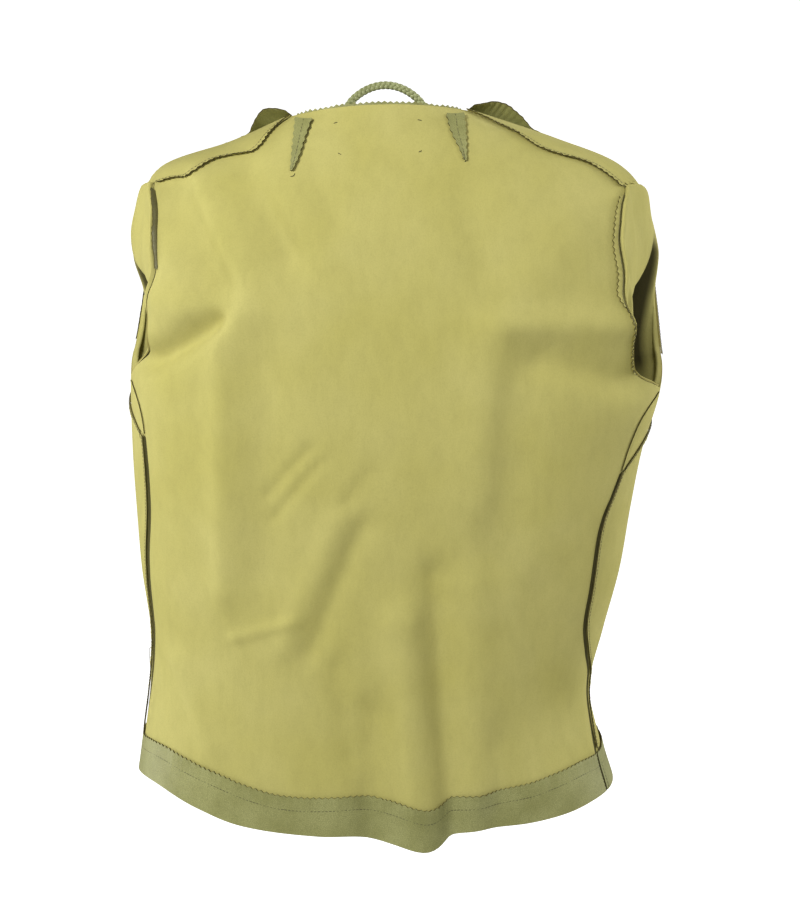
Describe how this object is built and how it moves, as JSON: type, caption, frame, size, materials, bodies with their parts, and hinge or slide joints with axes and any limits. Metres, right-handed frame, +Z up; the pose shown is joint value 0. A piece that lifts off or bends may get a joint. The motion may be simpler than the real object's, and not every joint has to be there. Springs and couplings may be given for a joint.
{
  "type": "leather jacket worn inside out",
  "caption": "Open-fronted suede jacket turned inside out, hollow as worn, with pinked seam allowances, hem and front facings, sleeves turned into the body and a plaited hanging loop.",
  "frame": {"origin": "middle of the neck opening, level with the neck ends of the shoulder seams, where the wearer's shoulders carry the jacket", "axes": "+Z up, +Y the way the wearer faces, so the back faces -Y, +X the wearer's right"},
  "size_m": [0.4584, 0.265, 0.6299],
  "materials": {
    "suede_flesh_side": "napped flesh side of a soft hide, matt, olive yellow",
    "leather_grain_side": "fine grain side, dull sheen, olive green",
    "plaited_leather": "three narrow strips plaited, dull sheen"
  },
  "bodies": {
    "root": {"back": "suede_flesh_side", "front_lower_left": "suede_flesh_side", "front_lower_right": "suede_flesh_side", "front_upper_left": "suede_flesh_side", "front_upper_right": "suede_flesh_side", "sleeve_left": "suede_flesh_side", "sleeve_right": "suede_flesh_side", "shoulder_allowance_left": "suede_flesh_side", "shoulder_allowance_right": "suede_flesh_side", "hem_facing_back": "leather_grain_side", "hem_facing_left": "leather_grain_side", "hem_facing_right": "leather_grain_side", "front_facing_left": "leather_grain_side", "front_facing_right": "leather_grain_side", "side_allowance_left": "suede_flesh_side", "side_allowance_right": "suede_flesh_side", "underarm_allowance_left": "suede_flesh_side", "underarm_allowance_right": "suede_flesh_side", "front_seam_allowance_left": "suede_flesh_side", "front_seam_allowance_right": "suede_flesh_side", "armhole_allowance_back_left": "leather_grain_side", "armhole_allowance_back_right": "suede_flesh_side", "armhole_allowance_front_left": "leather_grain_side", "armhole_allowance_front_right": "suede_flesh_side", "dart_allowance_left": "leather_grain_side", "dart_allowance_right": "leather_grain_side", "neck_allowance": "leather_grain_side", "hanging_loop": "plaited_leather"}
  },
  "joints": []
}
